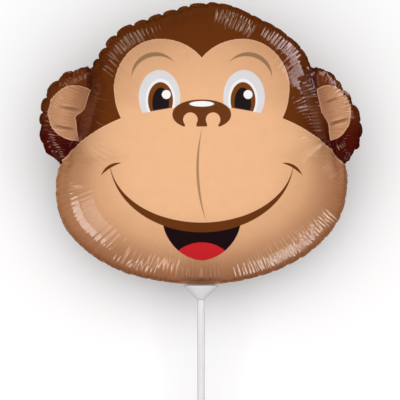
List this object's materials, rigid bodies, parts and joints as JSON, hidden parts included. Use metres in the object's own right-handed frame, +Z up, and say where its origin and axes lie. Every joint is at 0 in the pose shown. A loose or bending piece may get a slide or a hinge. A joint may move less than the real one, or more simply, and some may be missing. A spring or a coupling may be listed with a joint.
{
  "type": "monkey head foil balloon on a cup and stick",
  "caption": "Air-filled foil balloon shaped as a smiling monkey's head with round ears, on a white cup and hollow stick, lying face up with the stick's end on the ground.",
  "frame": {"origin": "on the ground, below the middle of the whole part's box", "axes": "+Y from the stick's end to the crown of the head, +Z up and out of the face, +X to the right of someone looking at the face"},
  "size_m": [0.2818, 0.5538, 0.1371],
  "materials": {
    "printed_foil": "glossy metallised film, printed brown and peach",
    "cup_plastic": "white, slightly translucent, smooth",
    "stick_plastic": "white, slightly translucent, smooth"
  },
  "bodies": {
    "root": {"foil_balloon": "printed_foil", "balloon_cup": "cup_plastic", "balloon_stick": "stick_plastic"}
  },
  "joints": []
}
